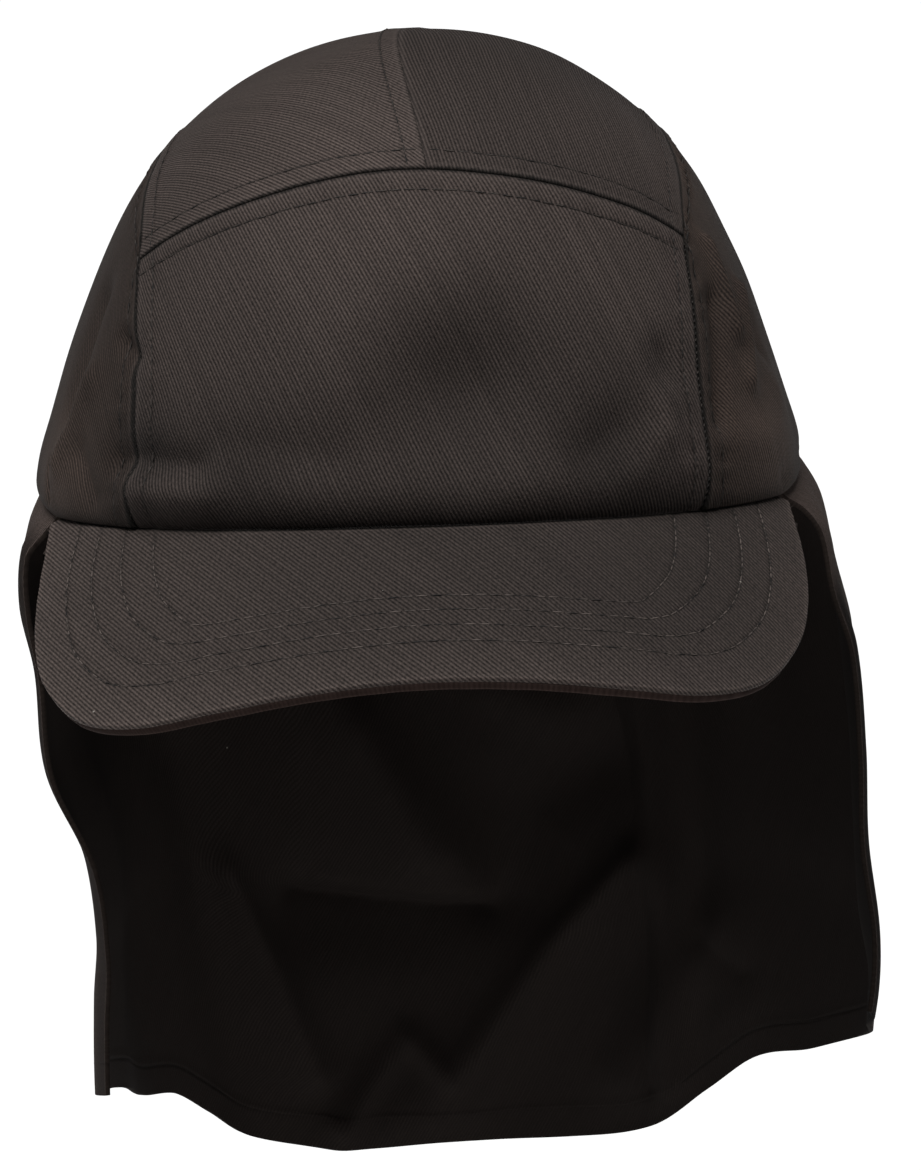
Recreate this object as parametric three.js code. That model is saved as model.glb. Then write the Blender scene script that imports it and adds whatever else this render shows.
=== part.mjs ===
// Legionnaire cap: a five-panel cotton twill cap with a curved peak and a cape-like neck flap.
// The crown is one front panel, two top panels and two side panels, sewn edge to edge.
// Millimetres, +Z up. The peak points along -Y and the wearer's left is +X.
// The origin is the middle of the head opening, level with the rim at the ears.

import * as THREE from "three";
import { ParametricGeometry } from "three/addons/geometries/ParametricGeometry.js";
import { mergeGeometries, mergeVertices } from "three/addons/utils/BufferGeometryUtils.js";

// Crown, measured outside.
const crownWidth = 183;
const crownLength = 194;
const crownHeight = 102.5;
const planSquareness = 2.2; // 2 would be an ellipse seen from above
const domeRoundness = 2.5; // 2 would be an ellipse seen from the side
const sideTaper = 0.2; // share of the width that the wall leans in, rim to top
const frontTaper = 0.13;
const backTaper = 0.12;
const crownLean = 1.6; // how far the top sits towards the wearer's left
const rimRise = 7.5; // how far the rim arches up above the middle of the peak
const frontWall = 1.8; // twill over a stiffened backing
const clothWall = 1.2;
const seamGap = 0.5;

// Seams, as angles round the rim from the middle of the front, in degrees.
const frontSeamAngle = 42.5;
const backSeamAngle = 152;
const peakEndAngle = 65;
const flapStartAngle = 67.5;

// Peak.
const peakWidth = 171;
const peakReach = 66; // from the front of the rim to the peak's front edge
const peakDrop = 19; // from the rim plane down to the peak's lowest corner
const peakTwist = 2.4; // the wearer's right corner hangs this much lower, the left higher
const peakCamber = 2.5;
const peakBoardThickness = 1.2;
const peakUndersideThickness = 1;
const peakGap = 0.3;

// Neck flap.
const flapLength = 207.5; // rim plane to the hem, at the back
const flapFrontLength = 136; // rim plane to the hem, at the free front edges
const flapSkew = 7.5; // the wearer's right front edge hangs this much lower, the left higher
const flapTuck = 6; // how far the flap goes up inside the rim
const flapGap = 0.6;
const hemWidth = 9;
const hemThickness = 2;

const halfWidth = crownWidth / 2;
const halfLength = crownLength / 2;

// The seam between side and top panel, from the front of the rim over to the back of the rim.
// Shares of the crown's half width, half length and height. The two seams differ in width,
// and the rim ends are added below.
const sideSeamRows = [
  { left: 0.69, right: 0.69, deep: -0.67, high: 0.33 },
  { left: 0.71, right: 0.75, deep: -0.5, high: 0.635 }, // the arch seam ends here
  { left: 0.71, right: 0.75, deep: -0.2, high: 0.78 },
  { left: 0.66, right: 0.69, deep: 0.16, high: 0.8 },
  { left: 0.57, right: 0.58, deep: 0.52, high: 0.65 }, // the side panel's back edge starts here
  { left: 0.5, right: 0.5, deep: 0.76, high: 0.34 },
];
const archCornerRow = 2; // counted in the whole seam, with the rim end as row 0
const backCornerRow = 5;

// The seam over the top of the front panel, from the middle to the side seam.
const archSeamRows = [
  { wide: 0.03, deep: -0.65, high: 0.785 },
  { wide: 0.36, deep: -0.625, high: 0.745 },
];

// The seam between the two top panels, from the arch seam to the back of the rim.
const centreSeamRows = [
  { wide: -0.03, deep: -0.3, high: 0.96 },
  { wide: -0.03, deep: 0.02, high: 1 },
  { wide: -0.01, deep: 0.4, high: 0.94 },
  { wide: 0, deep: 0.72, high: 0.72 },
  { wide: 0, deep: 0.92, high: 0.38 },
];

// Soft dents and swells of the crown. Places as in the seams, size as a share of the half
// width and push as a share of the height, outwards if positive.
const crownDents = [
  { wide: 0.1, deep: -0.9, high: 0.37, size: 0.27, push: -0.04 },
  { wide: 0.13, deep: -0.9, high: 0.335, size: 0.17, push: -0.03 },
  { wide: -0.55, deep: -0.8, high: 0.2, size: 0.16, push: 0.014 },
  { wide: 0.62, deep: -0.75, high: 0.2, size: 0.15, push: 0.014 },
  { wide: 0.1, deep: -0.9, high: 0.2, size: 0.25, push: 0.01 },
  { wide: -0.9, deep: -0.1, high: 0.42, size: 0.3, push: -0.022 },
  { wide: 0.9, deep: -0.1, high: 0.42, size: 0.3, push: -0.022 },
  { wide: -0.06, deep: -0.2, high: 1, size: 0.24, push: 0.02 },
  { wide: -0.4, deep: -0.05, high: 0.95, size: 0.26, push: -0.02 },
  { wide: 0.44, deep: -0.05, high: 0.93, size: 0.24, push: -0.016 },
];

// The peak's outer edge, from its end at the rim to the middle of its front. side is a share
// of half the peak's width, ahead of the distance from end to front, and drop of the peakDrop.
const peakEdgeRows = [
  { side: 0.99, ahead: 0.02, drop: 0.05 },
  { side: 1, ahead: 0.28, drop: 0.47 },
  { side: 0.985, ahead: 0.47, drop: 0.74 },
  { side: 0.94, ahead: 0.63, drop: 0.92 },
  { side: 0.84, ahead: 0.8, drop: 1 },
  { side: 0.69, ahead: 0.908, drop: 0.9 },
  { side: 0.5, ahead: 0.96, drop: 0.69 },
  { side: 0.26, ahead: 0.99, drop: 0.49 },
  { side: 0, ahead: 1, drop: 0.41 },
];

// The flap's plan at each level. down is a share of flapLength, and the others are how far
// the cloth hangs out from the rim there, as shares of the crown's half width. leftEdge and
// rightEdge are added towards the free front edges, which flare out more.
const flapSections = [
  { down: 0, left: 0, leftEdge: 0, right: 0, rightEdge: 0, back: 0 },
  { down: 0.05, left: 0.065, leftEdge: 0.045, right: 0.048, rightEdge: 0.055, back: 0.02 },
  { down: 0.12, left: 0.095, leftEdge: 0.06, right: 0.08, rightEdge: 0.03, back: 0.02 },
  { down: 0.19, left: 0.11, leftEdge: 0.1, right: 0.04, rightEdge: 0.045, back: 0.02 },
  { down: 0.31, left: 0.138, leftEdge: 0.095, right: 0.028, rightEdge: 0.04, back: 0 },
  { down: 0.42, left: 0.148, leftEdge: 0.09, right: -0.045, rightEdge: 0, back: -0.02 },
  { down: 0.53, left: 0.162, leftEdge: 0.11, right: -0.07, rightEdge: 0, back: -0.045 },
  { down: 0.61, left: 0.19, leftEdge: 0.07, right: -0.055, rightEdge: 0, back: -0.06 },
  { down: 0.72, left: 0.18, leftEdge: 0.02, right: -0.045, rightEdge: 0, back: -0.08 },
  { down: 1, left: 0.12, leftEdge: 0, right: -0.045, rightEdge: 0, back: -0.12 },
];
const flapEdgeReach = 0.13; // share of the way round from the back over which an edge flares

// The hem's line. away is a share of the way from the middle of the back to a free front edge,
// and shorter a share of what flapFrontLength is shorter than flapLength.
const flapHemRows = [
  { away: 0, shorter: 0 },
  { away: 0.17, shorter: 0.02 },
  { away: 0.3, shorter: 0.1 },
  { away: 0.39, shorter: 0.27 },
  { away: 0.48, shorter: 0.44 },
  { away: 0.6, shorter: 0.54 },
  { away: 1, shorter: 1 },
];

// Folds of the flap. Each runs between two places: around is degrees from the middle of the
// back, towards the wearer's left if positive, and down is a share of the length there.
// width and push are shares of flapLength, and push is outwards if positive.
const flapFolds = [
  { around: -12, down: 0.45, toAround: -2, toDown: 0.61, width: 0.075, push: -0.024 },
  { around: -16, down: 0.4, toAround: 2, toDown: 0.65, width: 0.045, push: -0.012 },
  { around: 24, down: 0.5, toAround: 9, toDown: 0.64, width: 0.06, push: 0.022 },
  { around: 2, down: 0.69, toAround: -20, toDown: 0.69, width: 0.06, push: 0.024 },
  { around: 31, down: 0.65, toAround: 1, toDown: 0.93, width: 0.05, push: -0.022 },
  { around: -4, down: 0.92, toAround: -17, toDown: 0.99, width: 0.045, push: -0.018 },
  { around: -38, down: 0.64, toAround: -21, toDown: 0.9, width: 0.045, push: -0.014 },
  { around: 34, down: 0.4, toAround: 38, toDown: 0.95, width: 0.045, push: -0.014 },
  { around: 46, down: 0.78, toAround: 30, toDown: 0.92, width: 0.05, push: -0.014 },
  { around: 52, down: 0.2, toAround: 50, toDown: 0.9, width: 0.06, push: -0.02 },
  { around: -48, down: 0.5, toAround: -34, toDown: 1, width: 0.06, push: 0.014 },
  { around: -88, down: 0.3, toAround: -80, toDown: 1, width: 0.08, push: -0.02 },
  { around: 84, down: 0.3, toAround: 80, toDown: 1, width: 0.08, push: 0.02 },
];

const clothColour = 0x3a3431;
const peakColour = 0x3f3936;
const flapColour = 0x1d1918;

function curveThrough(points) {
  return new THREE.CatmullRomCurve3(points, false, "catmullrom", 0.5);
}

function between(from, to, share) {
  return from + (to - from) * share;
}

function smoothStep(share) {
  const t = THREE.MathUtils.clamp(share, 0, 1);
  return t * t * (3 - 2 * t);
}

// Height of the rim above the rim plane, arched over the middle of the peak.
function rimHeight(angle) {
  const share = Math.min(Math.abs(angle) / peakEndAngle, 1);
  return rimRise * Math.cos((share * Math.PI) / 2);
}

// Half width and half length of the crown at a height, before the dome closes in.
function wallHalves(heightShare, towardsBack) {
  const lean = Math.max(heightShare, 0);
  return {
    wide: halfWidth * (1 - sideTaper * lean),
    deep: halfLength * (1 - (towardsBack ? backTaper : frontTaper) * lean),
  };
}

// 1 on the crown's outside, less inside it.
function crownField(p) {
  const heightShare = Math.max(p.z, 0) / crownHeight;
  const { wide, deep } = wallHalves(heightShare, p.y > 0);
  const plan = Math.abs(p.x / wide) ** planSquareness + Math.abs(p.y / deep) ** planSquareness;
  return plan ** (domeRoundness / planSquareness) + heightShare ** domeRoundness;
}

// The point of the crown's outside seen from the origin in the direction of p.
function ontoCrown(p) {
  const ray = p.clone().normalize();
  let near = 0;
  let far = crownLength;
  for (let step = 0; step < 44; step++) {
    const middle = (near + far) / 2;
    if (crownField(ray.clone().multiplyScalar(middle)) < 1) near = middle;
    else far = middle;
  }
  return ray.multiplyScalar(near);
}

function crownNormal(p) {
  const step = 0.05;
  const slope = (axis) => {
    const offset = new THREE.Vector3().setComponent(axis, step);
    return crownField(p.clone().add(offset)) - crownField(p.clone().sub(offset));
  };
  return new THREE.Vector3(slope(0), slope(1), slope(2)).normalize();
}

// The crown's outside at an angle round from the middle of the front and at a height.
function wallPoint(angle, z) {
  const radians = THREE.MathUtils.degToRad(angle);
  const heightShare = Math.max(z, 0) / crownHeight;
  const { wide, deep } = wallHalves(heightShare, Math.cos(radians) < 0);
  const closing = (1 - heightShare ** domeRoundness) ** (1 / domeRoundness);
  const round = (value) => Math.sign(value) * Math.abs(value) ** (2 / planSquareness);
  const x = wide * closing * round(Math.sin(radians));
  const y = -deep * closing * round(Math.cos(radians));
  return new THREE.Vector3(x, y, z);
}

function rimPoint(angle) {
  return wallPoint(angle, rimHeight(angle));
}

function crownPlace({ wide, deep, high }) {
  return ontoCrown(new THREE.Vector3(wide * halfWidth, deep * halfLength, high * crownHeight));
}

const dentPlaces = crownDents.map((dent) => ({ ...dent, place: crownPlace(dent) }));

function dentPush(p) {
  return dentPlaces.reduce((sum, { place, size, push }) => {
    const distance = p.distanceTo(place) / (size * halfWidth);
    return sum + push * crownHeight * Math.exp(-(distance ** 2));
  }, 0);
}

// Both side seams are worked out on the wearer's left, and the right one is mirrored later.
function sideSeamOn(side) {
  const places = sideSeamRows.map((row) => crownPlace({ ...row, wide: row[side] }));
  return curveThrough([rimPoint(frontSeamAngle), ...places, rimPoint(backSeamAngle)]);
}

const leftSeam = sideSeamOn("left");
const rightSeam = sideSeamOn("right");
const sideSeamSteps = sideSeamRows.length + 1;
const archCorner = archCornerRow / sideSeamSteps;
const backCorner = backCornerRow / sideSeamSteps;

function mirroredTo(side, p) {
  return new THREE.Vector3(side * p.x, p.y, p.z);
}

function archOutwards(sideSeam) {
  return [...archSeamRows.slice(1).map(crownPlace), sideSeam.getPoint(archCorner)];
}

const archMiddle = crownPlace(archSeamRows[0]);
const archRight = archOutwards(rightSeam).map((p) => mirroredTo(-1, p));
const archSeam = curveThrough([...archRight.reverse(), archMiddle, ...archOutwards(leftSeam)]);
const centreSeam = curveThrough([archMiddle, ...centreSeamRows.map(crownPlace), rimPoint(180)]);

// A patch between four edge curves, each a function of a share from 0 to 1: bottom and top
// run across, start and end run up.
function patchPoint({ bottom, top, start, end }, across, up) {
  const along = bottom(across).lerp(top(across), up);
  const over = start(up).lerp(end(up), across);
  const corners = bottom(0).lerp(bottom(1), across).lerp(top(0).lerp(top(1), across), up);
  return along.add(over).sub(corners);
}

function lengthOf(edge) {
  const pieces = 12;
  let length = 0;
  for (let i = 0; i < pieces; i++) length += edge(i / pieces).distanceTo(edge((i + 1) / pieces));
  return length;
}

// A closed wall. place(across, up, depth) is its face at depth 0 and its back at depth 1.
// A mirrored wall is turned, so that its face still looks outwards.
function closedWall(place, columns, rows, turned) {
  const sheet = (sharesAt, slices, stacks) =>
    new ParametricGeometry(
      (u, v, target) => {
        const [across, up, depth] = sharesAt(u, v);
        target.copy(place(turned ? 1 - across : across, up, depth));
      },
      slices,
      stacks,
    );
  const sheets = [
    sheet((u, v) => [u, v, 0], columns, rows),
    sheet((u, v) => [1 - u, v, 1], columns, rows),
    sheet((u, v) => [u, 0, 1 - v], columns, 1),
    sheet((u, v) => [u, 1, v], columns, 1),
    sheet((u, v) => [0, u, v], rows, 1),
    sheet((u, v) => [1, u, 1 - v], rows, 1),
  ];
  for (const each of sheets) {
    each.deleteAttribute("normal");
    each.deleteAttribute("uv");
  }
  const solid = mergeVertices(mergeGeometries(sheets), 1e-4);
  solid.computeVertexNormals();
  return solid;
}

// One sewn panel of the crown, with half a seam gap left off each sewn edge. The edges named
// in rimEdges lie on the rim and keep their place.
function crownPanel(edges, thickness, columns, rows, side, rimEdges) {
  const acrossGap = seamGap / (lengthOf(edges.bottom) + lengthOf(edges.top));
  const upGap = seamGap / (lengthOf(edges.start) + lengthOf(edges.end));
  const low = rimEdges.includes("bottom") ? 0 : upGap;
  const high = rimEdges.includes("top") ? 1 : 1 - upGap;
  const place = (across, up, depth) => {
    const share = between(acrossGap, 1 - acrossGap, across);
    const p = ontoCrown(patchPoint(edges, share, between(low, high, up)));
    const out = dentPush(mirroredTo(side, p)) - depth * thickness;
    return leaned(mirroredTo(side, p.addScaledVector(crownNormal(p), out)));
  };
  return closedWall(place, columns, rows, side < 0);
}

function leaned(p) {
  p.x += crownLean * smoothStep(p.z / crownHeight);
  return p;
}

function piece(name, geometry, colour) {
  const material = new THREE.MeshStandardMaterial({ color: colour, roughness: 0.9, metalness: 0 });
  const mesh = new THREE.Mesh(geometry, material);
  mesh.name = name;
  return mesh;
}

function frontPanel() {
  const edges = {
    bottom: (u) => rimPoint(between(-frontSeamAngle, frontSeamAngle, u)),
    top: (u) => archSeam.getPoint(u),
    start: (v) => mirroredTo(-1, rightSeam.getPoint(v * archCorner)),
    end: (v) => leftSeam.getPoint(v * archCorner),
  };
  return piece("front_panel", crownPanel(edges, frontWall, 16, 12, 1, ["bottom"]), clothColour);
}

function topPanel(name, side) {
  const sideSeam = side > 0 ? leftSeam : rightSeam;
  const edges = {
    bottom: (u) => mirroredTo(side, archSeam.getPoint(between(0.5, side > 0 ? 1 : 0, u))),
    top: (u) => rimPoint(between(180, backSeamAngle, u)),
    start: (v) => mirroredTo(side, centreSeam.getPoint(v)),
    end: (v) => sideSeam.getPoint(between(archCorner, 1, v)),
  };
  return piece(name, crownPanel(edges, clothWall, 8, 22, side, ["top"]), clothColour);
}

function sidePanel(name, side) {
  const sideSeam = side > 0 ? leftSeam : rightSeam;
  const edges = {
    bottom: (u) => rimPoint(between(frontSeamAngle, backSeamAngle, u)),
    top: (u) => sideSeam.getPoint(between(archCorner, backCorner, u)),
    start: (v) => sideSeam.getPoint(v * archCorner),
    end: (v) => sideSeam.getPoint(between(1, backCorner, v)),
  };
  return piece(name, crownPanel(edges, clothWall, 20, 10, side, ["bottom"]), clothColour);
}

// The normal of a surface given as a function of two shares.
function surfaceNormal(surface, u, v) {
  const step = 0.002;
  const a = THREE.MathUtils.clamp(u, step, 1 - step);
  const b = Math.max(v, step);
  const across = surface(a + step, b).sub(surface(a - step, b));
  const up = surface(a, b).sub(surface(a, b - step));
  return across.cross(up).normalize();
}

// A place inside the crown's wall, level with a point of the outside.
function insetBy(inset, p) {
  const out = dentPush(p) - inset;
  return p.addScaledVector(crownNormal(p).setZ(0).normalize(), out);
}

const peakEndDeep = -rimPoint(peakEndAngle).y;

function peakEdgePoint({ side, ahead, drop }) {
  const y = -between(peakEndDeep, halfLength + peakReach, ahead);
  const twist = side * peakTwist * smoothStep(ahead * 3);
  return new THREE.Vector3((side * peakWidth) / 2, y, -drop * peakDrop + twist);
}

const peakEdgeRight = peakEdgeRows.map((row) => peakEdgePoint({ ...row, side: -row.side }));
const peakEdgeLeft = peakEdgeRows.slice(0, -1).map(peakEdgePoint).reverse();
const peakEdge = curveThrough([...peakEdgeRight, ...peakEdgeLeft]);

// The peak's upper face: across runs from the wearer's left to the right, ahead from the rim
// to the outer edge.
function peakFace(across, ahead) {
  const root = insetBy(frontWall, rimPoint(between(peakEndAngle, -peakEndAngle, across)));
  root.z -= peakGap;
  const p = root.lerp(peakEdge.getPoint(1 - across), ahead);
  p.z += peakCamber * Math.sin(Math.PI * across) * Math.sin(Math.PI * ahead);
  return p;
}

function peakLayer(name, depth, thickness, colour) {
  const place = (across, ahead, share) => {
    const normal = surfaceNormal(peakFace, across, ahead);
    return peakFace(across, ahead).addScaledVector(normal, -(depth + share * thickness));
  };
  return piece(name, closedWall(place, 32, 6, false), colour);
}

// The value of a column of a table at a place between its rows, as a smooth curve that starts
// level. Past the last row it keeps the last value.
function smoothColumn(rows, key, column, at) {
  const last = rows[rows.length - 1];
  if (at >= last[key]) return last[column];
  const index = Math.max(1, rows.findIndex((row) => row[key] >= at));
  const [a, b] = [rows[index - 1], rows[index]];
  const slopeOver = (from, to) => (to[column] - from[column]) / (to[key] - from[key]);
  const startSlope = index > 1 ? slopeOver(rows[index - 2], b) : 0;
  const endSlope = index < rows.length - 1 ? slopeOver(a, rows[index + 1]) : slopeOver(a, b);
  const span = b[key] - a[key];
  const t = (at - a[key]) / span;
  const bend = span * t * (1 - t) * ((1 - t) * startSlope - t * endSlope);
  return between(a[column], b[column], smoothStep(t)) + bend;
}

// How far the folds push the flap out at a place on it.
function foldPush(around, down, length) {
  const arc = (degrees) => (THREE.MathUtils.degToRad(degrees) * crownWidth) / 2;
  const p = new THREE.Vector2(arc(around), down * length);
  return flapFolds.reduce((sum, fold) => {
    const a = new THREE.Vector2(arc(fold.around), fold.down * length);
    const b = new THREE.Vector2(arc(fold.toAround), fold.toDown * length);
    const line = b.clone().sub(a);
    const share = THREE.MathUtils.clamp(p.clone().sub(a).dot(line) / line.lengthSq(), 0, 1);
    const distance = p.distanceTo(a.addScaledVector(line, share)) / (fold.width * flapLength);
    return sum + fold.push * flapLength * Math.exp(-(distance ** 2));
  }, 0);
}

// The flap's outer face: across runs round the back from the wearer's left to the right, and
// level runs from 0 at the hem to 1 at the rim and on to 2 at the top of the tuck.
function flapFace(across, level) {
  const angle = between(flapStartAngle, 360 - flapStartAngle, across);
  const fromBack = 180 - angle;
  const away = Math.abs(fromBack) / (180 - flapStartAngle);
  const shorter = smoothColumn(flapHemRows, "away", "shorter", away);
  const skew = (flapSkew * fromBack) / (180 - flapStartAngle);
  const length = between(flapLength, flapFrontLength, shorter) - skew * shorter;
  const depth = level < 1 ? length * (1 - level) : -flapTuck * (level - 1);
  const down = Math.max(depth, 0) / flapLength;
  const root = leaned(insetBy(clothWall + flapGap, wallPoint(angle, -depth)));
  const radians = THREE.MathUtils.degToRad(angle);
  const sine = Math.sin(radians);
  const side = sine > 0 ? "left" : "right";
  const flare = smoothColumn(flapSections, "down", `${side}Edge`, down);
  const edgeShare = smoothStep((away - 1) / flapEdgeReach + 1);
  const hang = smoothColumn(flapSections, "down", side, down) + flare * edgeShare;
  const sideways = hang * sine * Math.abs(sine);
  const backwards = smoothColumn(flapSections, "down", "back", down) * Math.max(-Math.cos(radians), 0);
  const out = new THREE.Vector3(root.x, root.y, 0).normalize();
  const push = smoothStep(down / 0.12) * foldPush(fromBack, Math.max(1 - level, 0), length);
  root.add(new THREE.Vector3(sideways * halfWidth, backwards * halfWidth, 0));
  return root.addScaledVector(out, push);
}

function neckFlap() {
  const rows = 20;
  const hemLevel = hemWidth / flapLength;
  // The lowest row of cells is the hem, folded double, and the top row is the tuck.
  const levels = [0, hemLevel];
  for (let i = 1; i < rows - 1; i++) levels.push(between(hemLevel, 1, i / (rows - 2)));
  levels.push(2);
  const levelAt = (up) => {
    const row = Math.min(Math.floor(up * rows), rows - 1);
    return between(levels[row], levels[row + 1], up * rows - row);
  };
  const place = (across, up, depth) => {
    const level = levelAt(up);
    const thickness = up * rows < 0.5 ? hemThickness : clothWall;
    const normal = surfaceNormal(flapFace, across, level);
    return flapFace(across, level).addScaledVector(normal, -depth * thickness);
  };
  return piece("neck_flap", closedWall(place, 56, rows, false), flapColour);
}

const cap = new THREE.Group();
cap.name = "legionnaire_cap";
cap.add(
  frontPanel(),
  topPanel("top_panel_left", 1),
  topPanel("top_panel_right", -1),
  sidePanel("side_panel_left", 1),
  sidePanel("side_panel_right", -1),
  peakLayer("peak_board", 0, peakBoardThickness, peakColour),
  peakLayer("peak_underside", peakBoardThickness + peakGap, peakUndersideThickness, peakColour),
  neckFlap(),
);

export default cap;
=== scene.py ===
import functools
import math
import bpy
import bmesh
import numpy as np
from mathutils import Matrix, Vector


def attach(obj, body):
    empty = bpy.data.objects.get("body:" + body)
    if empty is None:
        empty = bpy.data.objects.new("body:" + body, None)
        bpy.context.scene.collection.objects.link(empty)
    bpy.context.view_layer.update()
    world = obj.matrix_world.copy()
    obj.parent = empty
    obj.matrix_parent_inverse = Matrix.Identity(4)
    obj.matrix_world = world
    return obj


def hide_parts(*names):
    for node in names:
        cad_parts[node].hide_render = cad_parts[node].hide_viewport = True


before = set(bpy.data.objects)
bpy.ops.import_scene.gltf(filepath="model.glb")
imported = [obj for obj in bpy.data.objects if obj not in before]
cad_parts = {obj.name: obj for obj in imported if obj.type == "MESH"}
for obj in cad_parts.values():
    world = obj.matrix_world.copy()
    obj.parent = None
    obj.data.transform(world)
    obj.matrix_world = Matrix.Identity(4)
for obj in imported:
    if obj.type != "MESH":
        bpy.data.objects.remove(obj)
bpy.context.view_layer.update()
mm = 0.001  # the shapes are worked out in millimetres, the meshes are in metres
print("frame loaded:", ", ".join(sorted(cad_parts)))


def newObject(name, data):
    made = bpy.data.objects.new(name, data)
    bpy.context.scene.collection.objects.link(made)
    return made


def meshFrom(bm, name):
    mesh = bpy.data.meshes.new(name)
    bm.to_mesh(mesh)
    bm.free()
    return mesh


# the camera stands at the photograph's angle
view = {
    "aim": (0.0088, 0, -0.0305),
    "distance": 1.0,
    "elevation": 14.5,
    "roll": 1.8,
    "lens": 161.8,
}


def makeCamera():
    lens = bpy.data.cameras.new("camera")
    lens.sensor_width = 36
    lens.sensor_fit = "HORIZONTAL"
    lens.lens = view["lens"]
    lens.clip_start = 0.05
    lens.clip_end = 60
    camera = newObject("camera", lens)
    tilt = math.radians(view["elevation"])
    away = Vector((0, -math.cos(tilt), math.sin(tilt))) * view["distance"]
    turn = Matrix.Rotation(math.pi / 2 - tilt, 4, "X")
    roll = Matrix.Rotation(-math.radians(view["roll"]), 4, "Z")
    camera.matrix_world = Matrix.Translation(Vector(view["aim"]) + away) @ (turn @ roll)
    bpy.context.scene.camera = camera


makeCamera()


# helpers for curves and tables
def smoothStep(share):
    t = np.clip(share, 0, 1)
    return t * t * (3 - 2 * t)


def bell(distance, width):
    return np.exp(-((distance / width) ** 2))


def curveThrough(points):
    points = np.array(points, float)
    padded = np.vstack([2 * points[0] - points[1], points, 2 * points[-1] - points[-2]])

    def at(share):
        place = np.clip(share, 0, 1) * (len(points) - 1)
        index = np.minimum(place.astype(int), len(points) - 2)
        t = (place - index)[..., None]
        before, start, end, after = (padded[index + step] for step in range(4))
        leaving, arriving = (end - before) / 2, (after - start) / 2
        beyond = (share * (len(points) - 1) - place)[..., None]
        return (
            start
            + leaving * t
            + (3 * (end - start) - 2 * leaving - arriving) * t**2
            + (2 * (start - end) + leaving + arriving) * t**3
            + np.where(beyond > 0, arriving, leaving) * beyond
        )

    return at


def smoothColumn(rows, column, at):
    # a smooth line through one column of a table, level at its start and held past its end
    keys = np.array([row[0] for row in rows], float)
    values = np.array([row[column] for row in rows], float)
    slopes = np.zeros(len(rows))
    slopes[1:-1] = (values[2:] - values[:-2]) / (keys[2:] - keys[:-2])
    slopes[-1] = (values[-1] - values[-2]) / (keys[-1] - keys[-2])
    index = np.clip(np.searchsorted(keys, at) - 1, 0, len(rows) - 2)
    span = keys[index + 1] - keys[index]
    t = np.clip((at - keys[index]) / span, 0, 1)
    line = values[index] + (values[index + 1] - values[index]) * smoothStep(t)
    return line + span * t * (1 - t) * ((1 - t) * slopes[index] - t * slopes[index + 1])


def ripple(along, period, seed):
    # an uneven wave from -1 to 1
    turn = 2 * math.pi * along / period
    swing = 0.7 + 0.3 * np.sin(turn * 0.173 + seed)
    return swing * np.sin(turn + seed + 1.3 * np.sin(turn * 0.31 + 2.1 * seed))


def steps(length, spacing, fineStart=True):
    # shares along an edge, close together at an edge that is rolled or folded
    fine = [0, 0.12, 0.3, 0.55, 0.85, 1.25, 1.8]
    start = fine if fineStart else [0]
    end = [length - each for each in reversed(fine)]
    count = max(2, round((end[0] - start[-1]) / spacing))
    middle = np.linspace(start[-1], end[0], count + 1)[1:-1]
    return np.concatenate([start, middle, end]) / length


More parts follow.
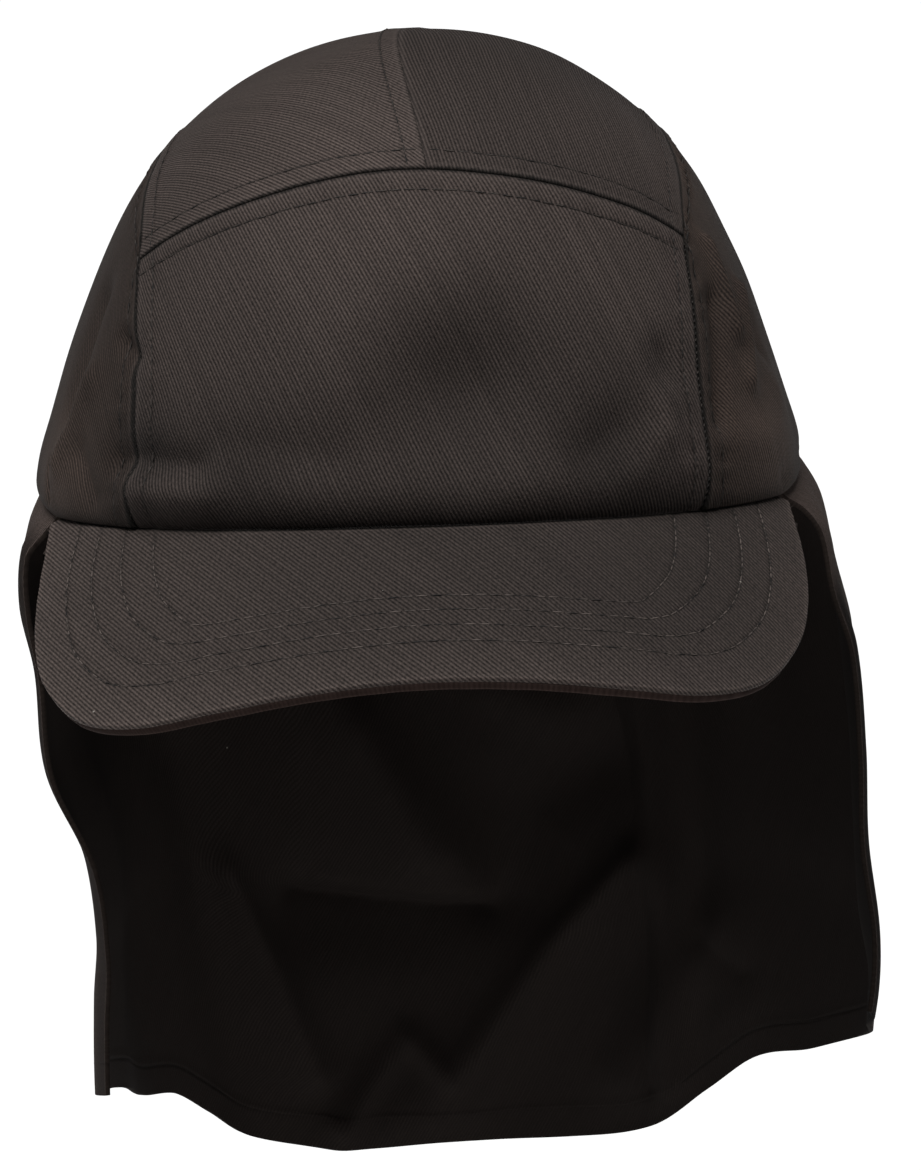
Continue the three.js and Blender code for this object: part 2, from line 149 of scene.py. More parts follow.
# the crown's shape, in millimetres and degrees. A place on it is given as shares of its half width,
# half length and height
crown = {
    "width": 183,
    "length": 194,
    "height": 102.5,
    "planSquareness": 2.2,
    "domeRoundness": 2.5,
    "sideTaper": 0.2,
    "frontTaper": 0.13,
    "backTaper": 0.12,
    "lean": 1.6,
    "rimRise": 7.5,
    "frontWall": 1.8,
    "clothWall": 1.2,
    "seamOverlap": 0.12,
    "frontSeamAngle": 42.5,
    "backSeamAngle": 152,
    "peakEndAngle": 65,
    # left width, right width, depth and height of the side seams, as shares
    "sideSeams": [
        (0.69, 0.69, -0.67, 0.33),
        (0.71, 0.75, -0.5, 0.635),
        (0.71, 0.75, -0.2, 0.78),
        (0.66, 0.69, 0.16, 0.8),
        (0.57, 0.58, 0.52, 0.65),
        (0.5, 0.5, 0.76, 0.34),
    ],
    "archSeam": [(0.03, -0.65, 0.785), (0.36, -0.625, 0.745)],
    "centreSeam": [
        (-0.03, -0.3, 0.96),
        (-0.03, 0.02, 1),
        (-0.01, 0.4, 0.94),
        (0, 0.72, 0.72),
        (0, 0.92, 0.38),
    ],
    # place, size as a share of the half width, push as a share of the height
    "dents": [
        (0.1, -0.9, 0.37, 0.27, -0.04),
        (-0.55, -0.8, 0.2, 0.16, 0.014),
        (0.62, -0.75, 0.2, 0.15, 0.014),
        (0.1, -0.9, 0.2, 0.25, 0.01),
        (-0.9, -0.1, 0.42, 0.3, -0.022),
        (0.9, -0.1, 0.42, 0.3, -0.022),
        (-0.06, -0.2, 1, 0.24, 0.02),
        (-0.4, -0.05, 0.95, 0.26, -0.02),
        (0.44, -0.05, 0.93, 0.24, -0.016),
        (0.13, -0.9, 0.335, 0.17, -0.04),
    ],
    # where the cloth is painted darker or lighter, as painted shade and painted light: place, size, share
    "lightAndShadeSpots": [
        (0.14, -0.88, 0.44, 0.24, -0.3),
        (0.04, -0.94, 0.14, 0.22, -0.13),
        (0.52, -0.85, 0.14, 0.13, -0.15),
        (-0.08, -0.72, 0.72, 0.42, 0.55),
        (-0.9, -0.43, 0.12, 0.2, 0.95),
        (0.85, -0.5, 0.13, 0.2, 1.1),
        (0.62, -0.35, 0.78, 0.3, 0.6),
        (0.6, -0.79, 0.2, 0.09, 0.3),
        (0.61, -0.73, 0.36, 0.08, -0.22),
        (0.6, -0.73, 0.48, 0.12, 0.2),
        (0.42, -0.79, 0.58, 0.2, 0.22),
        (-0.66, -0.75, 0.21, 0.11, -0.5),
        (0.45, -0.87, 0.2, 0.14, -0.26),
        (-0.58, -0.83, 0.11, 0.08, 0.2),
        (-0.42, -0.88, 0.18, 0.16, -0.3),
    ],
    # each crease runs from one place to another, with its width and push in millimetres
    "creases": [
        ((-0.74, -0.68, 0.178), (-0.53, -0.84, 0.188), 4, -2.6),
        ((-0.7, -0.73, 0.122), (-0.5, -0.87, 0.13), 5, 1.5),
        ((-0.72, -0.56, 0.42), (-0.68, -0.62, 0.39), 2.6, -2),
        ((-0.8, -0.33, 0.47), (-0.87, -0.4, 0.25), 5, -2.6),
        ((-0.81, -0.49, 0.318), (-0.9, -0.43, 0.125), 4, 2.2),
        ((-0.93, -0.36, 0.1), (-0.93, -0.4, 0.03), 1.3, -1.3),
        ((-0.85, -0.53, 0.16), (-0.79, -0.61, 0.08), 4, -1.6),
        ((0.73, -0.39, 0.57), (0.79, -0.46, 0.38), 2.4, 2.3),
        ((0.74, -0.49, 0.452), (0.74, -0.64, 0.234), 3.2, -2.5),
        ((0.82, -0.32, 0.448), (0.82, -0.49, 0.271), 3, 2.3),
        ((0.88, -0.2, 0.4), (0.88, -0.28, 0.324), 4.5, -2.4),
        ((0.91, -0.35, 0.196), (0.88, -0.42, 0.15), 9, 1.8),
        ((0.79, -0.61, 0.159), (0.85, -0.52, 0.14), 6, 1.4),
        ((0.91, -0.45, 0.045), (1, -0.07, 0.02), 2.5, -1),
        ((0.6, -0.76, 0.286), (0.6, -0.79, 0.226), 4, 1.3),
        ((0.57, -0.81, 0.196), (0.53, -0.85, 0.151), 5, 1),
        ((0.61, -0.72, 0.38), (0.61, -0.72, 0.35), 5, -2),
        ((0.48, -0.85, 0.24), (0.42, -0.88, 0.2), 7, -1.6),
        ((-0.2, -0.93, 0.21), (-0.48, -0.86, 0.25), 6, -1),
        ((-0.16, -0.87, 0.5), (-0.13, -0.91, 0.38), 8, 0.9),
    ],
    "seamRaise": 0.35,  # the cloth is folded double beside a seam, as far as its topstitching
    "allowance": 5.2,
    "unevenness": 0.35,
    # where the cloth swells out above the rim
    "swellHeight": 8,
    "swellWidth": 7,
    "swellPeriod": 34,
}
halfWidth = crown["width"] / 2
halfLength = crown["length"] / 2
archCorner = 2 / 7
backCorner = 5 / 7


def rimHeight(angle):
    share = np.minimum(np.abs(angle) / crown["peakEndAngle"], 1)
    return crown["rimRise"] * np.cos(share * math.pi / 2)


def wallHalves(high, towardsBack):
    taper = np.where(towardsBack, crown["backTaper"], crown["frontTaper"])
    return halfWidth * (1 - crown["sideTaper"] * high), halfLength * (1 - taper * high)


def crownField(points):
    high = np.maximum(points[..., 2], 0) / crown["height"]
    wide, deep = wallHalves(high, points[..., 1] > 0)
    squareness = crown["planSquareness"]
    plan = np.abs(points[..., 0] / wide) ** squareness + np.abs(points[..., 1] / deep) ** squareness
    return plan ** (crown["domeRoundness"] / squareness) + high ** crown["domeRoundness"]


def ontoCrown(points):
    rays = points / np.linalg.norm(points, axis=-1, keepdims=True)
    reach = np.full(rays.shape[:-1] + (1,), halfWidth)
    for _ in range(16):  # each round comes closer to the surface
        reach = reach * crownField(rays * reach)[..., None] ** (-1 / crown["domeRoundness"])
    return rays * reach


def crownNormal(points):
    slopes = []
    for axis in range(3):
        offset = np.zeros(3)
        offset[axis] = 0.05
        slopes.append(crownField(points + offset) - crownField(points - offset))
    normal = np.stack(slopes, -1)
    return normal / np.linalg.norm(normal, axis=-1, keepdims=True)


def wallPoint(angle, z):
    angle, z = np.broadcast_arrays(np.radians(angle), np.asarray(z, float))
    high = np.maximum(z, 0) / crown["height"]
    wide, deep = wallHalves(high, np.cos(angle) < 0)
    closing = (1 - high ** crown["domeRoundness"]) ** (1 / crown["domeRoundness"])
    across, ahead = np.sin(angle), np.cos(angle)
    power = 2 / crown["planSquareness"]
    x = wide * closing * np.sign(across) * np.abs(across) ** power
    y = -deep * closing * np.sign(ahead) * np.abs(ahead) ** power
    return np.stack([x, y, z], -1)


def rimPoint(angle):
    return wallPoint(angle, rimHeight(angle))


def crownPlace(wide, deep, high):
    return ontoCrown(np.array([wide * halfWidth, deep * halfLength, high * crown["height"]]))


def crownSpots(rows, scale):
    return [(crownPlace(*row[:3]), row[3] * halfWidth, row[4] * scale) for row in rows]


dents = crownSpots(crown["dents"], crown["height"])
lightAndShadeSpots = crownSpots(crown["lightAndShadeSpots"], 1)
creases = [(crownPlace(*start), crownPlace(*end), *look) for start, end, *look in crown["creases"]]


def spotPush(spots, points):
    return sum(push * bell(np.linalg.norm(points - place, axis=-1), size) for place, size, push in spots)


def creasePush(points):
    total = np.zeros(points.shape[:-1])
    for start, end, width, push in creases:
        run = end - start
        share = np.clip(((points - start) @ run) / (run @ run), 0, 1)
        away = np.linalg.norm(points - start - share[..., None] * run, axis=-1)
        total += push * np.exp(-((away / width) ** 1.6))
    return total


def leaned(points):
    moved = points.copy()
    moved[..., 0] += crown["lean"] * smoothStep(points[..., 2] / crown["height"])
    return moved


def mirroredTo(side, points):
    return points * np.array([side, 1, 1])


def sideSeamOn(column):
    places = [crownPlace(row[column], row[2], row[3]) for row in crown["sideSeams"]]
    return curveThrough([rimPoint(crown["frontSeamAngle"]), *places, rimPoint(crown["backSeamAngle"])])


leftSeam, rightSeam = sideSeamOn(0), sideSeamOn(1)
archMiddle = crownPlace(*crown["archSeam"][0])
archSide = crownPlace(*crown["archSeam"][1])
archCorners = [seam(np.array(archCorner)) for seam in (leftSeam, rightSeam)]
archSeam = curveThrough(
    [mirroredTo(-1, archCorners[1]), mirroredTo(-1, archSide), archMiddle, archSide, archCorners[0]]
)
centreSeam = curveThrough([archMiddle, *(crownPlace(*row) for row in crown["centreSeam"]), rimPoint(180)])


def patchPoint(edges, across, up):
    u, v = across[..., None], up[..., None]
    zero, one = np.zeros(1), np.ones(1)
    bottom, top, start, end = edges["bottom"], edges["top"], edges["start"], edges["end"]
    along = bottom(across) * (1 - v) + top(across) * v
    over = start(up) * (1 - u) + end(up) * u
    low = bottom(zero) * (1 - u) + bottom(one) * u
    high = top(zero) * (1 - u) + top(one) * u
    return along + over - (low * (1 - v) + high * v)


def lengthOf(edge):
    return np.linalg.norm(np.diff(edge(np.linspace(0, 1, 40)), axis=0), axis=1).sum()


def travelled(points, axis):
    # distance along the rows or columns of a grid of points
    gaps = np.linalg.norm(np.diff(points, axis=axis), axis=-1)
    pad = [(0, 0), (0, 0)]
    pad[axis] = (1, 0)
    return np.pad(np.cumsum(gaps, axis=axis), pad)


def gridNormals(points):
    across = np.gradient(points, axis=1)
    up = np.gradient(points, axis=0)
    normal = np.cross(across, up)
    return normal / np.maximum(np.linalg.norm(normal, axis=-1, keepdims=True), 1e-9)


# cloth is made from a grid of places
def gridObject(name, points, cloth, layers, turned):
    # points, cloth coordinates and extra layers are grids of rows and columns
    rows, columns = points.shape[0] - 1, points.shape[1] - 1
    bm = bmesh.new()
    bmesh.ops.create_grid(bm, x_segments=columns, y_segments=rows, size=0.5)
    if turned:
        bmesh.ops.reverse_faces(bm, faces=bm.faces)
    mesh = meshFrom(bm, name)
    flat = np.empty(len(mesh.vertices) * 3, np.float32)
    mesh.vertices.foreach_get("co", flat)
    flat = flat.reshape(-1, 3)
    column = np.rint((flat[:, 0] + 0.5) * columns).astype(int)
    row = np.rint((flat[:, 1] + 0.5) * rows).astype(int)
    mesh.vertices.foreach_set("co", (points[row, column] * mm).astype(np.float32).ravel())
    corner = np.empty(len(mesh.loops), np.int32)
    mesh.loops.foreach_get("vertex_index", corner)
    uvMap = mesh.uv_layers.new(name="cloth")
    uvMap.data.foreach_set("uv", cloth[row, column][corner].astype(np.float32).ravel())
    for layer, values in layers.items():
        made = mesh.attributes.new(layer, "FLOAT", "POINT")
        made.data.foreach_set("value", values[row, column].astype(np.float32))
    mesh.polygons.foreach_set("use_smooth", np.ones(len(mesh.polygons), bool))
    mesh.update()
    return newObject(name, mesh)


def clothCoordinates(right, up, angle):
    # turned so that the twill's ridges run along the second coordinate
    sine, cosine = math.sin(math.radians(angle)), math.cos(math.radians(angle))
    return np.stack([right * sine + up * cosine, right * cosine - up * sine], -1)


def thicken(piece, wall):
    solidify = piece.modifiers.new("wall", "SOLIDIFY")
    solidify.thickness = wall * mm
    solidify.offset = -1
    solidify.use_even_offset = False
    solidify.material_offset = 1
    solidify.material_offset_rim = 2
    return solidify


def finishPiece(piece, node, materials):
    for material in materials:
        piece.data.materials.append(material)
    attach(piece, "root")
    if node:
        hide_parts(node)


# a stitch's sizes, how far it slants across its row, and how far from its ends the row stops
stitchLook = {
    "pitch": 3.1,
    "length": 2.7,
    "width": 0.36,
    "height": 0.28,
    "sink": 0.08,
    "slant": 0,
    "trim": 1.5,
}
tickLook = {
    "pitch": 1.5,
    "length": 0.9,
    "width": 0.34,
    "height": 0.26,
    "sink": 0.03,
    "slant": 0.9,
    "trim": 1.5,
}
endsOn = Matrix.Rotation(math.pi / 2, 4, "Y")  # the poles of a stitch's small sphere point along it


def lineAt(points, normals, distance, inset):
    # where each column of a grid is at this distance from an edge
    path, upright = [], []
    for column in range(points.shape[1]):
        away = distance[:, column] - inset
        crossing = np.nonzero(away[:-1] * away[1:] <= 0)[0]
        if len(crossing) == 0:
            continue
        row = crossing[0]
        share = away[row] / (away[row] - away[row + 1] + 1e-12)
        path.append(points[row, column] * (1 - share) + points[row + 1, column] * share)
        upright.append(normals[row, column])
    return np.array(path), np.array(upright)


def stitchRow(stitches, path, upright, look):
    # one row of short flat stitches laid along a line on the cloth, or slanting across it
    reach = np.concatenate([[0], np.cumsum(np.linalg.norm(np.diff(path, axis=0), axis=1))])
    count = int((reach[-1] - 2 * look["trim"]) / look["pitch"])
    row = bmesh.new()
    for index in range(count):
        middle = look["trim"] + (index + 0.5) * look["pitch"]
        ends = [middle - look["length"] / 2, middle + look["length"] / 2]
        a, b = (np.array([np.interp(end, reach, path[:, axis]) for axis in range(3)]) for end in ends)
        normal = np.array([np.interp(middle, reach, upright[:, axis]) for axis in range(3)])
        along = Vector(b - a)
        out = Vector(normal).normalized()
        along += along.cross(out).normalized() * look["slant"]
        beside = along.cross(out).normalized() * look["width"] / 2
        place = Vector((a + b) / 2) + out * (look["height"] / 2 - look["sink"])
        shape = Matrix((along / 2, beside, out * look["height"] / 2)).transposed().to_4x4()
        matrix = Matrix.Scale(mm, 4) @ Matrix.Translation(place) @ shape
        bmesh.ops.create_uvsphere(row, u_segments=6, v_segments=5, radius=1, matrix=matrix @ endsOn)
    part = meshFrom(row, "row")
    stitches.from_mesh(part)
    bpy.data.meshes.remove(part)


def stitchObject(name, stitches, material):
    bmesh.ops.recalc_face_normals(stitches, faces=stitches.faces)
    mesh = meshFrom(stitches, name)
    mesh.polygons.foreach_set("use_smooth", np.ones(len(mesh.polygons), bool))
    finishPiece(newObject(name, mesh), None, [material])


def node(tree, kind, inputs=None, **settings):
    made = tree.nodes.new(kind)
    for name, value in settings.items():
        setattr(made, name, value)
    for name, value in (inputs or {}).items():
        if isinstance(value, bpy.types.NodeSocket):
            tree.links.new(value, made.inputs[name])
        else:
            made.inputs[name].default_value = value
    return made


def maths(tree, operation, *values):
    return node(tree, "ShaderNodeMath", dict(enumerate(values)), operation=operation).outputs[0]


def noise(tree, place, scale, detail, roughness=0.5):
    inputs = {"Vector": place, "Scale": scale, "Detail": detail, "Roughness": roughness}
    return node(tree, "ShaderNodeTexNoise", inputs).outputs["Fac"]


def newGroup(name, inputs, outputs):
    # an input without a value is a vector, and everything else is a number
    group = bpy.data.node_groups.new(name, "ShaderNodeTree")
    for label, value in inputs.items():
        kind = "NodeSocketVector" if value is None else "NodeSocketFloat"
        socket = group.interface.new_socket(label, in_out="INPUT", socket_type=kind)
        if value is not None:
            socket.default_value = value
    for label in outputs:
        group.interface.new_socket(label, in_out="OUTPUT", socket_type="NodeSocketFloat")
    return group, group.nodes.new("NodeGroupInput"), group.nodes.new("NodeGroupOutput")


def makeTwillGroup():
    # diagonal ridges of yarn. Cloth is in millimetres, with the ridges along its second coordinate
    inputs = {"Cloth": None, "Spacing": 0.75, "Yarn step": 1.1, "Wander": 0.05}
    group, given, result = newGroup("twill", inputs, ["Height", "Shade"])
    calc = functools.partial(maths, group)
    cloth = given.outputs["Cloth"]
    parts = node(group, "ShaderNodeSeparateXYZ", {"Vector": cloth})
    # each ridge wanders a little from a straight line
    straight = calc("DIVIDE", parts.outputs["X"], given.outputs["Spacing"])
    offset = calc("MULTIPLY", calc("SUBTRACT", noise(group, cloth, 0.35, 3.0), 0.5), given.outputs["Wander"])
    place = calc("ADD", straight, calc("MULTIPLY", offset, 6.0))
    ridge = calc("MULTIPLY_ADD", calc("COSINE", calc("MULTIPLY", place, 2 * math.pi)), 0.5, 0.5)
    index = calc("FLOOR", calc("ADD", place, 0.5))
    # the yarns cross it in small beads, a step further on each ridge
    even = calc("DIVIDE", parts.outputs["Y"], given.outputs["Yarn step"])
    yarn = calc("ADD", even, calc("MULTIPLY", index, 0.38))
    bead = calc("MULTIPLY_ADD", calc("COSINE", calc("MULTIPLY", yarn, 2 * math.pi)), 0.14, 0.86)
    height = calc("MULTIPLY", ridge, bead)
    fibre = noise(group, cloth, 3.2, 4.0, 0.65)
    group.links.new(calc("MULTIPLY_ADD", fibre, 0.35, height), result.inputs["Height"])
    # some ridges are thicker and lighter than others, and all are a little spotty
    single = node(group, "ShaderNodeTexWhiteNoise", {"W": index}, noise_dimensions="1D")
    thickness = calc("MULTIPLY_ADD", single.outputs["Value"], 0.22, 0.62)
    fleck = noise(group, cloth, 1.3, 3.0, 0.7)
    spotty = calc("MULTIPLY_ADD", fibre, 0.9, calc("MULTIPLY_ADD", fleck, 0.9, -0.77))
    shade = calc("ADD", calc("MULTIPLY", height, thickness), spotty)
    shade.node.use_clamp = True
    group.links.new(shade, result.inputs["Shade"])
    return group


def makeSewingGroup():
    # what a seam and its topstitching do to the cloth, from the distances to them in millimetres
    inputs = {"Cloth": None, "Seam": 50.0, "Stitch": 50.0}
    group, given, result = newGroup("sewing", inputs, ["Height", "Dark", "Rub"])
    calc = functools.partial(maths, group)

    def hill(distance, width):
        share = calc("DIVIDE", distance, width)
        return calc("EXPONENT", calc("MULTIPLY", calc("MULTIPLY", share, share), -1.0))

    stitch = given.outputs["Stitch"]
    ragged = noise(group, given.outputs["Cloth"], 0.9, 2.0)
    seam = calc("ADD", given.outputs["Seam"], calc("MULTIPLY_ADD", ragged, 1.5, -0.75))
    group.links.new(calc("MULTIPLY", hill(stitch, 0.55), -0.24), result.inputs["Height"])
    dark = calc("MAXIMUM", calc("MULTIPLY", hill(stitch, 0.36), 0.62), hill(seam, 0.75))
    group.links.new(dark, result.inputs["Dark"])
    group.links.new(hill(calc("SUBTRACT", seam, 1.3), 0.5), result.inputs["Rub"])
    return group


def makeWearGroup():
    # slow unevenness of the dye, and tiny pale specks of lint
    group, given, result = newGroup("wear", {"Place": None, "Lint share": 0.06}, ["Mottle", "Lint"])
    calc = functools.partial(maths, group)
    place = given.outputs["Place"]
    quick = calc("MULTIPLY", noise(group, place, 260.0, 2.0), 0.5)
    mottle = calc("MULTIPLY_ADD", noise(group, place, 28.0, 3.0), 0.8, quick)
    group.links.new(mottle, result.inputs["Mottle"])
    cells = node(group, "ShaderNodeTexVoronoi", {"Vector": place, "Scale": 130.0})
    chance = node(group, "ShaderNodeSeparateXYZ", {"Vector": cells.outputs["Color"]})
    chosen = calc("LESS_THAN", chance.outputs["X"], given.outputs["Lint share"])
    near = calc("LESS_THAN", cells.outputs["Distance"], calc("MULTIPLY", chance.outputs["Y"], 0.045))
    group.links.new(calc("MULTIPLY", chosen, near), result.inputs["Lint"])
    return group


twillGroup = makeTwillGroup()
sewingGroup = makeSewingGroup()
wearGroup = makeWearGroup()


def mixColour(tree, factor, first, second, kind="MIX"):
    mixed = tree.nodes.new("ShaderNodeMix")
    mixed.data_type = "RGBA"
    mixed.blend_type = kind
    for socket, value in ((mixed.inputs[0], factor), (mixed.inputs[6], first), (mixed.inputs[7], second)):
        if isinstance(value, bpy.types.NodeSocket):
            tree.links.new(value, socket)
        else:
            socket.default_value = value
    return mixed.outputs[2]


def greyOf(tree, value):
    return node(tree, "ShaderNodeCombineColor", {0: value, 1: value, 2: value}).outputs[0]


def newMaterial(name):
    material = bpy.data.materials.new(name)
    material.use_nodes = True
    return material, material.node_tree, material.node_tree.nodes["Principled BSDF"]


def placeGroup(tree, group, inputs):
    return node(tree, "ShaderNodeGroup", inputs, node_tree=group).outputs


twillLook = {
    "spacing": 0.82,  # from one ridge to the next
    "yarnStep": 1.5,  # from one bead to the next, as a share of the spacing
    "ridge": (0.081, 0.0625, 0.0555),
    "valley": (0.0065, 0.005, 0.0045),
    "worn": (0.085, 0.068, 0.061),
    "rub": 0.13,
    "seamColour": (0.004, 0.0035, 0.003),
    "seamDark": 0.93,
    "lint": 0.1,
    "lintColour": (0.3, 0.28, 0.25),
    "lintShow": 0.55,
    "mottle": 0.3,
    "relief": 0.13,
    "roughness": 0.92,
    "gloss": 0.12,
}
# what each cloth has of its own
clothLooks = {
    "crown_twill": {},
    "side_twill": {"ridge": (0.083, 0.0585, 0.0475), "valley": (0.007, 0.0048, 0.004)},
    "peak_twill": {"ridge": (0.078, 0.061, 0.054), "spacing": 0.73, "lint": 0.14},
    "peak_lower_twill": {
        "ridge": (0.056, 0.036, 0.031),
        "valley": (0.032, 0.02, 0.017),
        "relief": 0.03,
        "lint": 0.02,
        "gloss": 0.03,
    },
    "flap_twill": {"spacing": 0.72, "lint": 0.02, "gloss": 0.02},
    # the inside faces: the cloth's reverse side, painted far darker than the outside as painted shade inside
    # the cap
    "reverse_twill_and_shade": {
        "ridge": (0.0178, 0.0134, 0.0116),
        "valley": (0.0082, 0.0062, 0.0054),
        "relief": 0.05,
        "lint": 0.006,
        "gloss": 0.08,
    },
    # the walls' rims, painted dark as painted shade
    "folded_edge": {
        "ridge": (0.017, 0.013, 0.011),
        "valley": (0.01, 0.0075, 0.0065),
        "relief": 0,
        "gloss": 0.02,
    },
}


def makeClothMaterial(name):
    look = {**twillLook, **clothLooks[name]}
    material, tree, shader = newMaterial(name)
    calc = functools.partial(maths, tree)
    cloth = node(tree, "ShaderNodeUVMap", uv_map="cloth").outputs["UV"]
    place = node(tree, "ShaderNodeTexCoord").outputs["Object"]
    layers = [node(tree, "ShaderNodeAttribute", attribute_name=name) for name in ("seam", "stitch", "tone")]
    seam, stitch, tone = (layer.outputs["Fac"] for layer in layers)
    yarnStep = look["spacing"] * look["yarnStep"]
    twill = placeGroup(tree, twillGroup, {"Cloth": cloth, "Spacing": look["spacing"], "Yarn step": yarnStep})
    sewing = placeGroup(tree, sewingGroup, {"Cloth": cloth, "Seam": seam, "Stitch": stitch})
    wear = placeGroup(tree, wearGroup, {"Place": place, "Lint share": look["lint"]})
    mottle = calc("MULTIPLY_ADD", wear["Mottle"], look["mottle"], 1 - 0.65 * look["mottle"])
    colour = mixColour(tree, twill["Shade"], (*look["valley"], 1), (*look["ridge"], 1))
    colour = mixColour(tree, 1.0, colour, greyOf(tree, calc("MULTIPLY", mottle, tone)), "MULTIPLY")
    over = (
        (sewing["Rub"], look["rub"], look["worn"]),
        (sewing["Dark"], look["seamDark"], look["seamColour"]),
        (wear["Lint"], look["lintShow"], look["lintColour"]),
    )
    for mask, share, paint in over:
        colour = mixColour(tree, calc("MULTIPLY", mask, share), colour, (*paint, 1))
    tree.links.new(colour, shader.inputs["Base Color"])
    height = calc("MULTIPLY_ADD", twill["Height"], look["relief"], sewing["Height"])
    bump = node(tree, "ShaderNodeBump", {"Height": height, "Strength": 1.0, "Distance": mm})
    tree.links.new(bump.outputs["Normal"], shader.inputs["Normal"])
    roughness = calc("MULTIPLY_ADD", twill["Shade"], -0.12, look["roughness"])
    tree.links.new(roughness, shader.inputs["Roughness"])
    shader.inputs["Specular IOR Level"].default_value = look["gloss"]
    return material


clothMaterials = {name: makeClothMaterial(name) for name in clothLooks}


def sidesOf(outer):
    # the materials of a wall's outside, inside and rim
    return [clothMaterials[name] for name in (outer, "reverse_twill_and_shade", "folded_edge")]


def makeThreadMaterial(name, dark, light, patchScale):
    # the thread is darker in some places than in others, in patches of about 1 / patchScale metres
    material, tree, shader = newMaterial(name)
    place = node(tree, "ShaderNodeTexCoord").outputs["Object"]
    share = maths(tree, "MULTIPLY_ADD", noise(tree, place, patchScale, 1.0), 4.0, -1.5)
    tree.links.new(mixColour(tree, share, (*dark, 1), (*light, 1)), shader.inputs["Base Color"])
    twist = noise(tree, place, 1800.0, 2.0)
    bump = node(tree, "ShaderNodeBump", {"Height": twist, "Strength": 0.6, "Distance": 0.0001})
    tree.links.new(bump.outputs["Normal"], shader.inputs["Normal"])
    shader.inputs["Roughness"].default_value = 0.7
    shader.inputs["Specular IOR Level"].default_value = 0.2
    return material


darkThread = (0.004, 0.0032, 0.003)
threadMaterial = makeThreadMaterial("thread", darkThread, (0.026, 0.021, 0.018), 900.0)
# the peak's thread is the same thread, painted lighter in patches as a painted highlight
peakHighlitThreadMaterial = makeThreadMaterial("peak_thread_highlit", darkThread, (0.066, 0.053, 0.047), 380.0)
print("materials made")


def sewnPanel(name, edges, side, look):
    width = (lengthOf(edges["bottom"]) + lengthOf(edges["top"])) / 2
    height = (lengthOf(edges["start"]) + lengthOf(edges["end"])) / 2
    acrossOverlap, upOverlap = crown["seamOverlap"] / width, crown["seamOverlap"] / height
    low = 0 if look["rim"] == "bottom" else -upOverlap
    high = 1 if look["rim"] == "top" else 1 + upOverlap
    across = (1 + 2 * acrossOverlap) * steps(width, look["mesh"]) - acrossOverlap
    up = low + (high - low) * steps(height, look["mesh"])
    across, up = np.meshgrid(across, up)
    base = ontoCrown(patchPoint(edges, across, up))
    acrossRun, upRun = travelled(base, 1), travelled(base, 0)
    distance = {
        "start": acrossRun,
        "end": acrossRun[:, -1:] - acrossRun,
        "bottom": upRun,
        "top": upRun[-1:] - upRun,
    }
    seams = [edge for edge in distance if edge != look["rim"]]
    sewn = np.minimum.reduce([distance[edge] for edge in seams])
    shaded = [np.maximum(distance[edge] + look["faint"].get(edge, 0), 0) for edge in seams]
    stitched = np.minimum.reduce([np.abs(distance[edge] - inset) for edge, inset in look["rows"]])
    placed = mirroredTo(side, base)
    out = spotPush(dents, placed) + creasePush(placed)
    for edge, (reach, depth) in look["rolls"].items():
        fold = np.clip(1 - distance[edge] / reach, 0, 1)
        out -= depth * (1 - np.sqrt(1 - fold**2))
    out += crown["seamRaise"] * (1 - smoothStep((sewn - crown["allowance"] + 1) / 1.6))
    out += crown["unevenness"] * soft(placed)
    if look["rim"] == "bottom":
        swell = 0.8 + 0.3 * ripple(acrossRun, crown["swellPeriod"], 1.2)
        out += look["swell"] * swell * bell(distance["bottom"] - crown["swellHeight"], crown["swellWidth"])
    for edge, inset in look["rows"]:
        along = upRun if edge in ("start", "end") else acrossRun
        wave = ripple(along, look["puckerPeriod"], inset + len(edge))
        out += look["pucker"] * wave * bell(distance[edge] - inset, 3.2) * smoothStep(distance[edge] / 2.5)
    points = base + crownNormal(base) * out[..., None]
    points = leaned(mirroredTo(side, points))
    cloth = clothCoordinates(side * acrossRun, upRun, look["twill"])
    # painted shade and painted light: each panel's own tone level, the spots above, and a painted shade
    # above the rim
    tone = look["tone"] * (1 + spotPush(lightAndShadeSpots, placed))
    if look["rim"] == "bottom":
        tone *= 1 - look["rimShade"] * bell(distance["bottom"], 3.5)
    layers = {"seam": np.minimum.reduce(shaded), "stitch": stitched, "tone": tone}
    piece = gridObject(name, points, cloth, layers, side < 0)
    thicken(piece, look["wall"])
    normals = gridNormals(points) * side
    rows = []
    for kind, places in ((stitchLook, look["rows"]), (tickLook, look["ticks"])):
        for edge, inset in places:
            grids = [points, normals, distance[edge]]
            if edge in ("start", "end"):
                grids = [np.swapaxes(grid, 0, 1) for grid in grids]
            rows.append((*lineAt(*grids, inset), kind))
    return piece, rows


def soft(points):
    # slow swells over the crown, from about -1 to 1
    x, y, z = points[..., 0], points[..., 1], points[..., 2]
    first = np.sin(x / 9.7 + 1.1 + 1.2 * np.sin(z / 17)) * np.sin(z / 12.1 + 0.4 + y / 23)
    second = np.sin(x / 5.9 - z / 8.3 + y / 11 + 2.2) * np.sin(y / 7.7 + z / 14 + 0.8)
    return 0.7 * first + 0.35 * second


